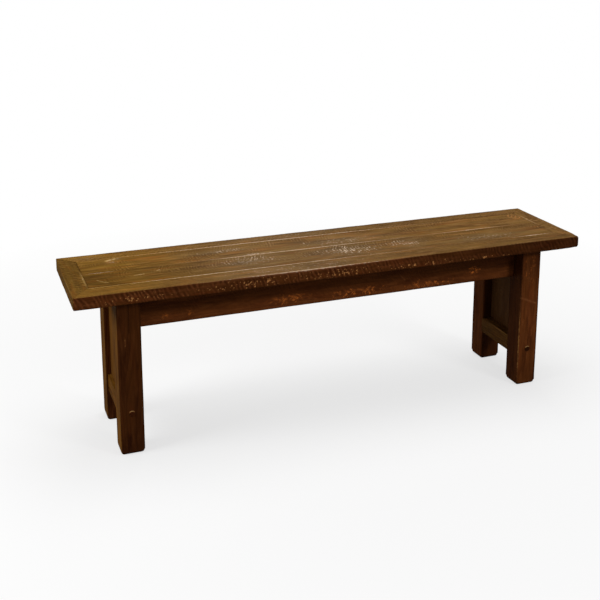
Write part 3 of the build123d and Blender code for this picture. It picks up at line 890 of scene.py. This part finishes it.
# Bearer screws: two pan-head wood screws up through each seat bearer into the planks, of the same
# zinc-plated steel, with a cross recess in the head and a coarse thread that grips the plank.
screw_low, screw_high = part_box("bearer_screws")
head_radius = 4.5 * mm
head_height = 3.0 * mm
shank_radius = 2.25 * mm
thread_depth = 0.7 * mm
thread_pitch = 2.2 * mm
screw_length = screw_high.z - screw_low.z - head_height
screw_sides = 24
tip_length = 5 * mm
blunt_tip = 0.05
plain_length = 12 * mm
crest_sharpness = 2.2
rows = np.arange(-screw_length, -plain_length, thread_pitch / 6)
taper = np.clip((rows + screw_length) / tip_length, blunt_tip, 1)
screw_profile = [(radius, height) for radius, height in zip((shank_radius - thread_depth) * taper, rows)]
screw_profile += [(shank_radius, -plain_length), (shank_radius, 0.0), (head_radius, 0.0)]
head_steps = [math.radians(angle) for angle in range(20, 90, 5)]
screw_profile += [(head_radius * math.cos(angle), head_height * math.sin(angle)) for angle in head_steps]
screw_pattern = lathed("screw_pattern", screw_profile, screw_sides)
points = points_of(screw_pattern)
turn = np.arctan2(points[:, Y], points[:, X]) / math.tau
phase = np.abs((points[:, Z] / thread_pitch - turn) % 1 - 0.5) * 2
threaded = (points[:, Z] < -plain_length - held_within) & (points[:, Z] > -screw_length)
crest = threaded * np.clip(1 - crest_sharpness * phase, 0, 1)
points[:, :Z] *= 1 + crest[:, None] * thread_depth / (shank_radius - thread_depth)
arm_half_width = 0.9 * mm
arm_reach = 2.6 * mm
recess_depth = 1.7 * mm
from_arm = np.abs(points[:, :Z]).min(axis=1)
out = np.hypot(points[:, X], points[:, Y])
in_recess = (points[:, Z] > 0.5 * head_height) & (from_arm < arm_half_width) & (out < arm_reach)
points[in_recess, Z] -= recess_depth * (1 - 0.6 * out[in_recess] / arm_reach)
screw_pattern.data.vertices.foreach_set("co", points.ravel())
screw_y = screw_high.y - head_radius
screw_z = screw_low.z + head_height
bearer_x = [sum(corner.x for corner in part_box("seat_bearer_" + side)) / 2
            for side in ("left", "middle", "right")]
screw_places = [((x, end * screw_y, screw_z), (0, 0, -1)) for x in bearer_x for end in (-1, 1)]
screws = repeated("bearer_pan_head_screws", screw_pattern, screw_places, zinc, math.tau)
finished(screws, "bearer_screws")

# Floor and backdrop: a plain pale studio floor under the bench's soft shadow. A picture of it shows
# white away from the bench, and gloss on the wood mirrors that white.
def rays_seen(tree):
    """Return 1 for a ray that shows a thing directly, mirrored or through glass, and 0 for the rest."""
    rays = tree.nodes.new("ShaderNodeLightPath").outputs
    seen = rays["Is Camera Ray"]
    for other in ("Is Glossy Ray", "Is Transmission Ray"):
        seen = add(tree, "Math", {0: seen, 1: rays[other]}, operation="MAXIMUM")
    return seen


bpy.ops.mesh.primitive_plane_add(size=40)
floor = bpy.context.object
floor.name = "floor"
floor_finish, tree, surface = new_finish("pale_matt_floor")
tree.nodes.remove(surface)
seen = rays_seen(tree)
paper = add(tree, "Mix", {"Factor": seen, "A": linear("#808080"), "B": linear("#f7f7f7")}, 2,
            data_type="RGBA")
matt = add(tree, "BsdfDiffuse", {"Color": paper})
white = add(tree, "Emission", {"Color": linear("#ffffff"), "Strength": 1.0})
place = add(tree, "TexCoord", output="Object")
distance = add(tree, "VectorMath", {0: place}, 1, operation="LENGTH")
far = add(tree, "MapRange", {"Value": distance, "From Min": 0.6, "From Max": 2.0, "To Min": 0.68})
far = add(tree, "Math", {0: far, 1: seen}, operation="MULTIPLY")
ground = add(tree, "MixShader", {0: far, 1: matt, 2: white})
feed(tree.nodes["Material Output"], {"Surface": ground})
floor.data.materials.append(floor_finish)

world = bpy.data.worlds.new("pale_studio")
bpy.context.scene.world = world
world.use_nodes = True
tree = world.node_tree
strength = add(tree, "MapRange", {"Value": rays_seen(tree), "To Min": 0.2})
feed(tree.nodes["Background"], {"Color": linear("#ffffff"), "Strength": strength})


def soft_lamp(name, place, target, size, power):
    """Hang a large square soft lamp at a place, turned towards a target."""
    lamp = bpy.data.lights.new(name, "AREA")
    lamp.shape = "SQUARE"
    lamp.size = size
    lamp.energy = power
    hung = new_object(name, lamp)
    hung.location = place
    hung.rotation_euler = (Vector(target) - Vector(place)).to_track_quat("-Z", "Y").to_euler()
    hung.visible_camera = False


soft_lamp("overhead_lamp", (0.3, 0.4, 3.0), (0.1, 0, 0.4), 2.0, 45)
soft_lamp("left_lamp", (-2.6, -0.3, 1.6), (-0.3, 0, 0.3), 1.0, 30)
soft_lamp("front_lamp", (1.7, -2.7, 2.2), (0.1, 0, 0.3), 0.7, 27)
soft_lamp("rear_lamp", (0.8, 2.7, 1.4), (-0.1, 0, 0.45), 0.9, 8)

# Camera: the photograph's own place and angle, worked out from the bench's edges. It stands 3 m away
# to the left of the middle and 1.4 m above the floor, and its picture is shifted to the same frame.
frame_pixels = 600
focal_pixels = 999.4
centre_pixels = (300.5, 150.0)
camera_place = (-1.0579, -2.6117, 1.3797)
camera_pitch = 12.25
camera_yaw = -20.48
lens = bpy.data.cameras.new("camera")
lens.sensor_width = 36.0
lens.lens = focal_pixels / frame_pixels * lens.sensor_width
lens.shift_x = (frame_pixels / 2 - centre_pixels[0]) / frame_pixels
lens.shift_y = (centre_pixels[1] - frame_pixels / 2) / frame_pixels
camera = new_object("camera", lens)
camera.location = camera_place
camera.rotation_euler = (math.radians(90 - camera_pitch), 0, math.radians(camera_yaw))
bpy.context.scene.camera = camera
bpy.context.scene.view_settings.view_transform = "Standard"
